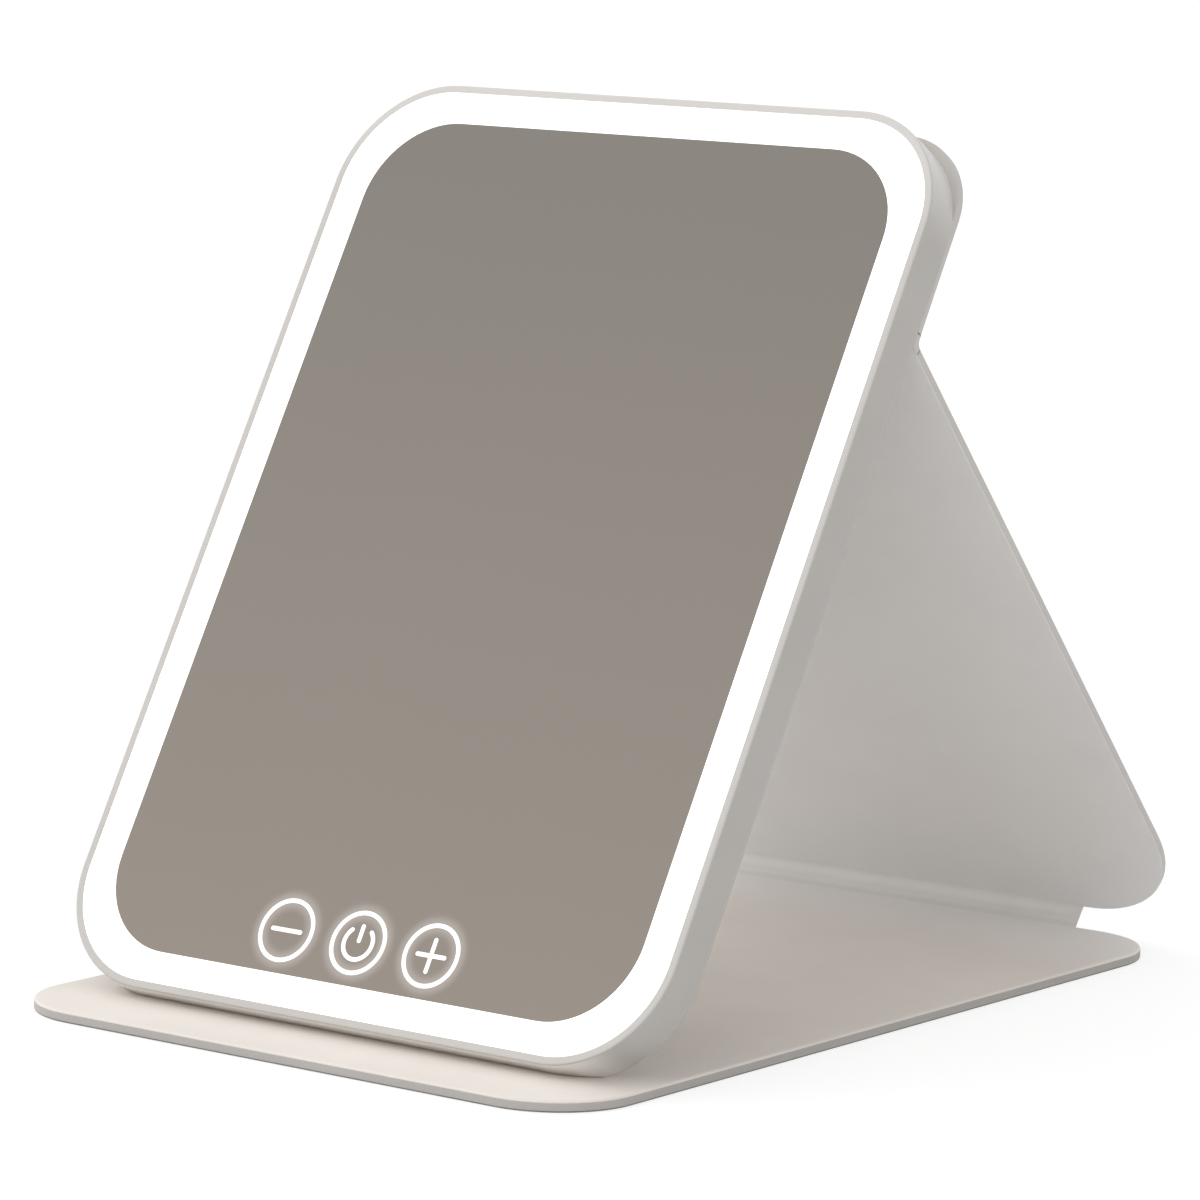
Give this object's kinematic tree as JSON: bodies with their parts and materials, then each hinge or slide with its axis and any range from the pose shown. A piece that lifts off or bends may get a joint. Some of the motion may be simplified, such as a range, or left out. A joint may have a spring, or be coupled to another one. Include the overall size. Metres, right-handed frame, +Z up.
{
  "type": "folding makeup mirror",
  "caption": "Lit makeup mirror in a leather folio: a tray with a light band round the glass and touch marks, propped as a tent by a leg panel hinged to a flat base cover.",
  "frame": {"origin": "centre of the base cover's underside, on the table", "axes": "+Y from the front edge to the back, +Z up, +X to the right as seen from the front"},
  "size_m": [0.16, 0.2419, 0.1963],
  "materials": {
    "outer_leather": "fine grain, satin",
    "inner_leather": "fine grain, satin",
    "board": "raw grey board",
    "magnet": "nickel plated",
    "shell": "satin moulded",
    "frame_plastic": "white moulded",
    "opal": "opal, lit",
    "silvered_glass": "silvered",
    "adhesive": "adhesive sheet",
    "lit_mark": "clear window in the silvering, lit from behind",
    "foam": "closed-cell foam",
    "circuit_board": "solder mask",
    "lamp": "yellow phosphor in white case",
    "flex_circuit": "white cover film",
    "wire_cover": "insulated wire",
    "screw_steel": "zinc plated",
    "inlet_steel": "drawn shell",
    "cell_foil": "pouch foil"
  },
  "bodies": {
    "base": {"base_skin": "outer_leather", "base_board": "board", "base_lining": "inner_leather", "base_magnets": "magnet", "base_fold_strip": "outer_leather"},
    "spine": {"spine_skin": "outer_leather", "leg_fold_strip": "outer_leather"},
    "leg": {"leg_skin": "outer_leather", "leg_board": "board", "leg_lining": "inner_leather", "head_fold_strip": "outer_leather"},
    "head": {"upper_panel_skin": "outer_leather", "upper_panel_board": "board", "housing": "shell", "light_frame": "frame_plastic", "light_diffuser": "opal", "mirror_glass": "silvered_glass", "mirror_tape": "adhesive", "minus_icon": "lit_mark", "power_icon": "lit_mark", "plus_icon": "lit_mark", "icon_gasket": "foam", "touch_board": "circuit_board", "icon_leds": "lamp", "touch_flex": "flex_circuit", "led_strip": "flex_circuit", "led_chips": "lamp", "led_leads": "wire_cover", "control_board": "circuit_board", "board_screws": "screw_steel", "usb_socket": "inlet_steel", "battery_cell": "cell_foil", "battery_pad": "adhesive", "battery_leads": "wire_cover", "foot_magnets": "magnet"}
  },
  "joints": [
    {"name": "spine_fold", "type": "hinge", "parent": "base", "child": "spine", "pos_m": [0, 0.1176, 0.0013], "axis": [1, 0, 0], "range_deg": [-22.6, 0], "deforming": ["base_fold_strip"]},
    {"name": "leg_fold", "type": "hinge", "parent": "spine", "child": "leg", "pos_m": [0, 0.12562, 0.00464], "axis": [1, 0, 0], "range_deg": [-109.3, 0], "deforming": ["leg_fold_strip"]},
    {"name": "head_fold", "type": "hinge", "parent": "leg", "child": "head", "pos_m": [0, -0.00309, 0.14886], "axis": [1, 0, 0], "range_deg": [0, 71.1], "deforming": ["head_fold_strip"]}
  ],
  "couplings": [
    {"joint": "spine_fold", "follows": "leg_fold", "ratio": 0.20659},
    {"joint": "head_fold", "follows": "leg_fold", "ratio": -0.64959}
  ]
}
